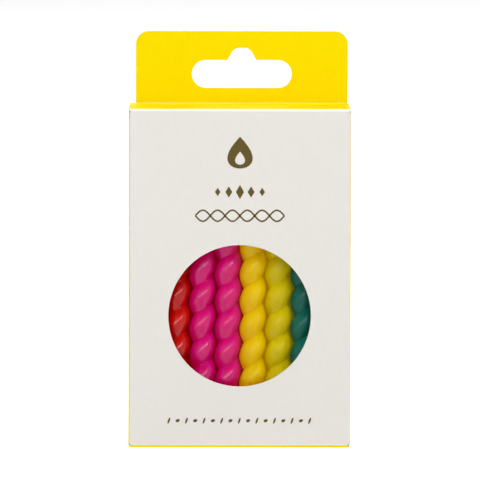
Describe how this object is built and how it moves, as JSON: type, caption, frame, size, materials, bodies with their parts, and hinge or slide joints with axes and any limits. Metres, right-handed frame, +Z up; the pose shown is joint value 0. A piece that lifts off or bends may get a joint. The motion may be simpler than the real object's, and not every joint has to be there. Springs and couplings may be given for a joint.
{
  "type": "hanging carton of spiral birthday candles",
  "caption": "Folding hang-tab carton with a round window, a tuck lid at each end, and two rows of corkscrew-twisted wax candles with wicks inside.",
  "frame": {"origin": "middle of the carton's base, on the surface that it stands on", "axes": "+X to the right seen from the front, +Y from the windowed front to the back, +Z up towards the hang tab"},
  "size_m": [0.068, 0.0222, 0.1264],
  "materials": {
    "white_board": "satin printed boxboard",
    "yellow_board": "satin printed boxboard",
    "plain_board": "matt unprinted boxboard",
    "red_wax": "smooth moulded wax",
    "magenta_wax": "smooth moulded wax",
    "golden_wax": "smooth moulded wax",
    "lime_wax": "smooth moulded wax",
    "teal_wax": "smooth moulded wax",
    "wick_cotton": "waxed braided cotton"
  },
  "bodies": {
    "carton": {"front_panel": "white_board", "left_side_panel": "yellow_board", "right_side_panel": "yellow_board", "inner_back_panel": "plain_board", "hang_tab_back_panel": "yellow_board"},
    "top_lid": {"top_lid": "yellow_board"},
    "top_tongue": {"top_tuck_tongue": "yellow_board"},
    "top_left_flap": {"top_left_dust_flap": "yellow_board"},
    "top_right_flap": {"top_right_dust_flap": "yellow_board"},
    "bottom_lid": {"bottom_lid": "yellow_board"},
    "bottom_tongue": {"bottom_tuck_tongue": "yellow_board"},
    "bottom_left_flap": {"bottom_left_dust_flap": "yellow_board"},
    "bottom_right_flap": {"bottom_right_dust_flap": "yellow_board"},
    "front_candle_row": {"front_candle_1": "red_wax", "front_wick_1": "wick_cotton", "front_candle_2": "red_wax", "front_wick_2": "wick_cotton", "front_candle_3": "magenta_wax", "front_wick_3": "wick_cotton", "front_candle_4": "magenta_wax", "front_wick_4": "wick_cotton", "front_candle_5": "golden_wax", "front_wick_5": "wick_cotton", "front_candle_6": "lime_wax", "front_wick_6": "wick_cotton", "front_candle_7": "teal_wax", "front_wick_7": "wick_cotton", "front_candle_8": "teal_wax", "front_wick_8": "wick_cotton"},
    "back_candle_row": {"back_candle_1": "red_wax", "back_wick_1": "wick_cotton", "back_candle_2": "red_wax", "back_wick_2": "wick_cotton", "back_candle_3": "magenta_wax", "back_wick_3": "wick_cotton", "back_candle_4": "magenta_wax", "back_wick_4": "wick_cotton", "back_candle_5": "golden_wax", "back_wick_5": "wick_cotton", "back_candle_6": "lime_wax", "back_wick_6": "wick_cotton", "back_candle_7": "teal_wax", "back_wick_7": "wick_cotton", "back_candle_8": "teal_wax", "back_wick_8": "wick_cotton"}
  },
  "joints": [
    {"name": "top_lid_hinge", "type": "hinge", "parent": "carton", "child": "top_lid", "pos_m": [0, -0.01083, 0.10397], "axis": [1, 0, 0], "range_deg": [0, 90]},
    {"name": "top_tongue_fold", "type": "hinge", "parent": "top_lid", "child": "top_tongue", "pos_m": [0, 0.00963, 0.10397], "axis": [1, 0, 0], "range_deg": [-59, 0]},
    {"name": "top_left_flap_fold", "type": "hinge", "parent": "carton", "child": "top_left_flap", "pos_m": [-0.03377, 0, 0.10343], "axis": [0, -1, 0], "range_deg": [0, 37]},
    {"name": "top_right_flap_fold", "type": "hinge", "parent": "carton", "child": "top_right_flap", "pos_m": [0.03377, 0, 0.10343], "axis": [0, 1, 0], "range_deg": [0, 37]},
    {"name": "bottom_lid_hinge", "type": "hinge", "parent": "carton", "child": "bottom_lid", "pos_m": [0, -0.01083, 0.00022], "axis": [-1, 0, 0], "range_deg": [0, 90]},
    {"name": "bottom_tongue_fold", "type": "hinge", "parent": "bottom_lid", "child": "bottom_tongue", "pos_m": [0, 0.00963, 0.00022], "axis": [-1, 0, 0], "range_deg": [-59, 0]},
    {"name": "bottom_left_flap_fold", "type": "hinge", "parent": "carton", "child": "bottom_left_flap", "pos_m": [-0.03377, 0, 0.00077], "axis": [0, 1, 0], "range_deg": [0, 37]},
    {"name": "bottom_right_flap_fold", "type": "hinge", "parent": "carton", "child": "bottom_right_flap", "pos_m": [0.03377, 0, 0.00077], "axis": [0, -1, 0], "range_deg": [0, 37]},
    {"name": "front_row_lift", "type": "slide", "parent": "carton", "child": "front_candle_row", "axis": [0, 0, 1], "range_m": [0, 0.0022]},
    {"name": "back_row_lift", "type": "slide", "parent": "carton", "child": "back_candle_row", "axis": [0, 0, 1], "range_m": [0, 0.0022]}
  ],
  "couplings": [
    {"joint": "top_tongue_fold", "follows": "top_lid_hinge", "ratio": -0.65},
    {"joint": "top_left_flap_fold", "follows": "top_lid_hinge", "ratio": 0.4},
    {"joint": "top_right_flap_fold", "follows": "top_lid_hinge", "ratio": 0.4},
    {"joint": "bottom_tongue_fold", "follows": "bottom_lid_hinge", "ratio": -0.65},
    {"joint": "bottom_left_flap_fold", "follows": "bottom_lid_hinge", "ratio": 0.4},
    {"joint": "bottom_right_flap_fold", "follows": "bottom_lid_hinge", "ratio": 0.4}
  ]
}
